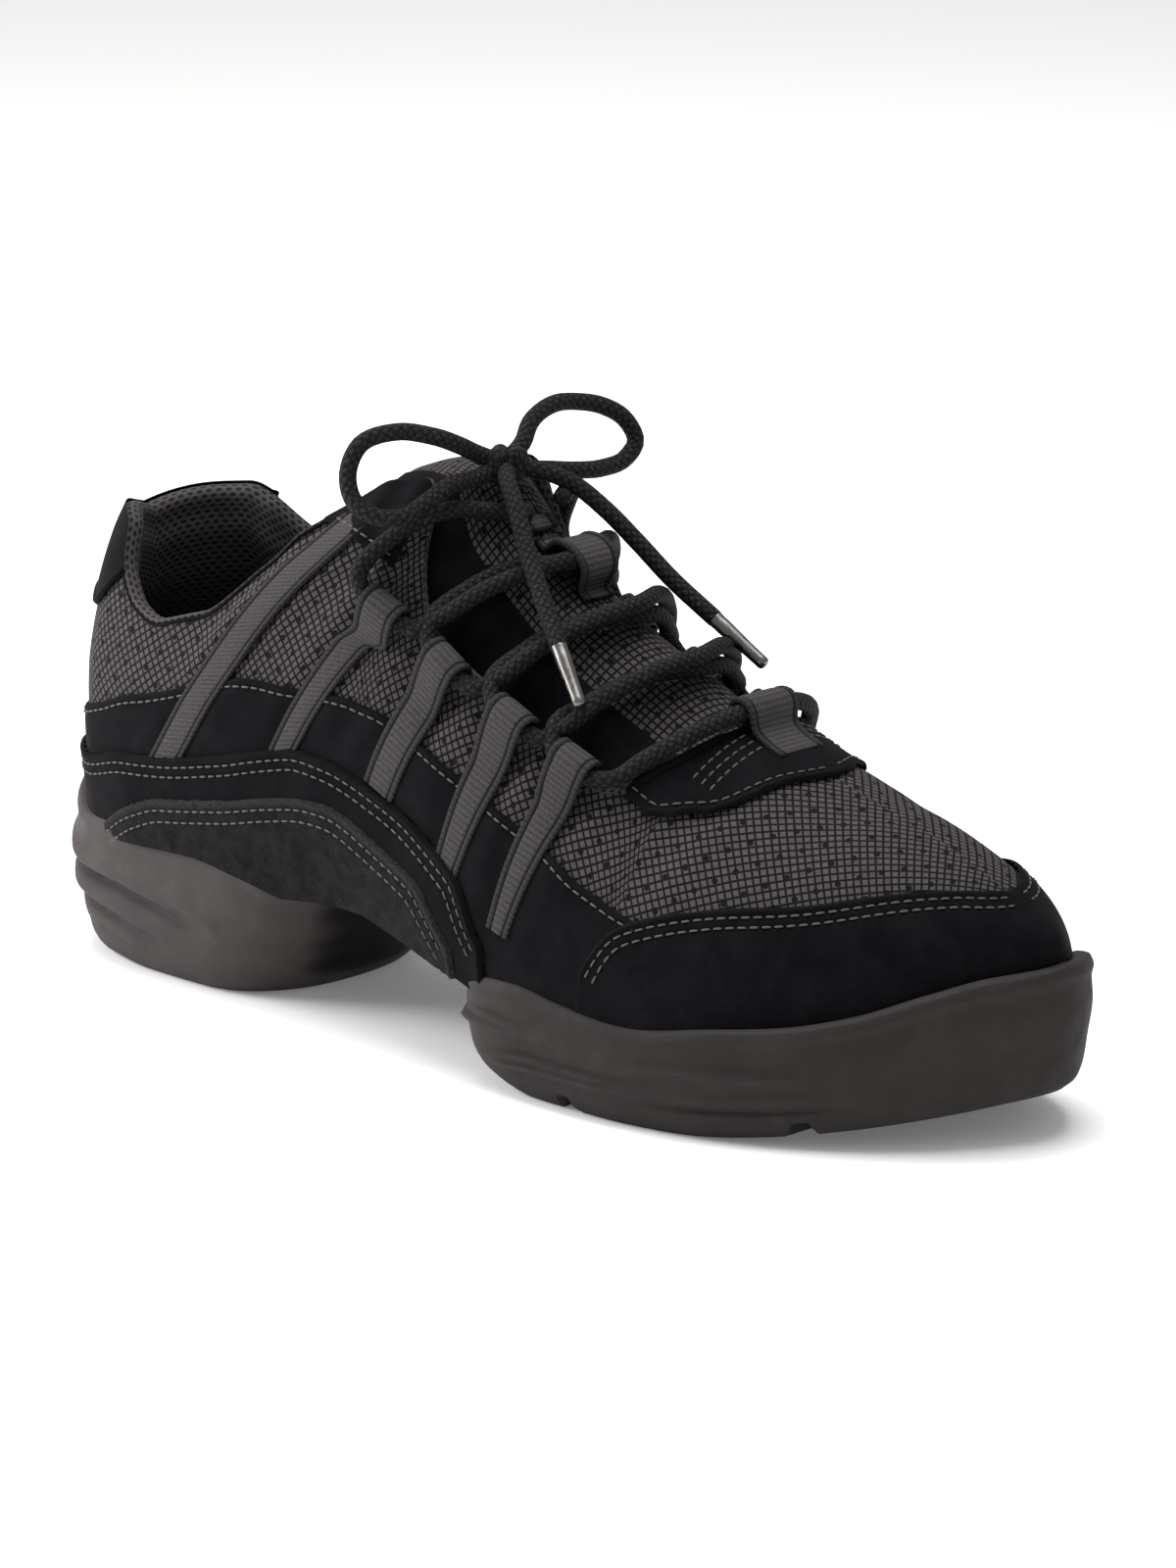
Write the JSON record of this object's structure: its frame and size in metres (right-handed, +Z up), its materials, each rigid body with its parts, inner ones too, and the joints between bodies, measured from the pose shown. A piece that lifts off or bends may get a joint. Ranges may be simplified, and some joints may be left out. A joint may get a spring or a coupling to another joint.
{
  "type": "dance sneaker",
  "caption": "Low right dance sneaker with a mesh upper, nubuck overlays, webbing lace loops, a tied bow and a split moulded sole.",
  "frame": {"origin": "centre of the bounding box, on the floor", "axes": "+X to the toe, +Y to the inner side of the foot, +Z up"},
  "size_m": [0.272, 0.0934, 0.139],
  "materials": {
    "mesh": "charcoal square mesh cloth",
    "lining": "soft lining cloth",
    "nubuck": "near-black nubuck with a fine nap",
    "suede": "dark grey suede with a rough nap",
    "webbing": "woven ribbed tape",
    "lace": "round braid",
    "sole": "matte moulded",
    "tip": "smooth, clear over the lace"
  },
  "bodies": {
    "root": {"upper": "mesh", "insole": "lining", "tongue": "mesh", "heel_sole": "sole", "forefoot_sole": "sole", "side_band": "nubuck", "arch_band": "nubuck", "arch_patch_outer": "suede", "arch_patch_inner": "suede", "eyestay_outer": "nubuck", "eyestay_inner": "nubuck", "heel_tab": "nubuck", "toe_cap": "nubuck", "saddle": "nubuck", "throat_loop": "webbing", "keeper_rear": "webbing", "keeper_front": "webbing", "lace_crossings": "lace", "bow_knot": "lace", "bow_loop_outer": "lace", "bow_loop_inner": "lace", "lace_end_outer": "lace", "lace_end_inner": "lace", "tip_outer": "tip", "tip_inner": "tip", "strap_outer_1": "webbing", "strap_outer_2": "webbing", "strap_outer_3": "webbing", "strap_outer_4": "webbing", "strap_outer_5": "webbing", "strap_inner_1": "webbing", "strap_inner_2": "webbing", "strap_inner_3": "webbing", "strap_inner_4": "webbing", "strap_inner_5": "webbing"}
  },
  "joints": []
}
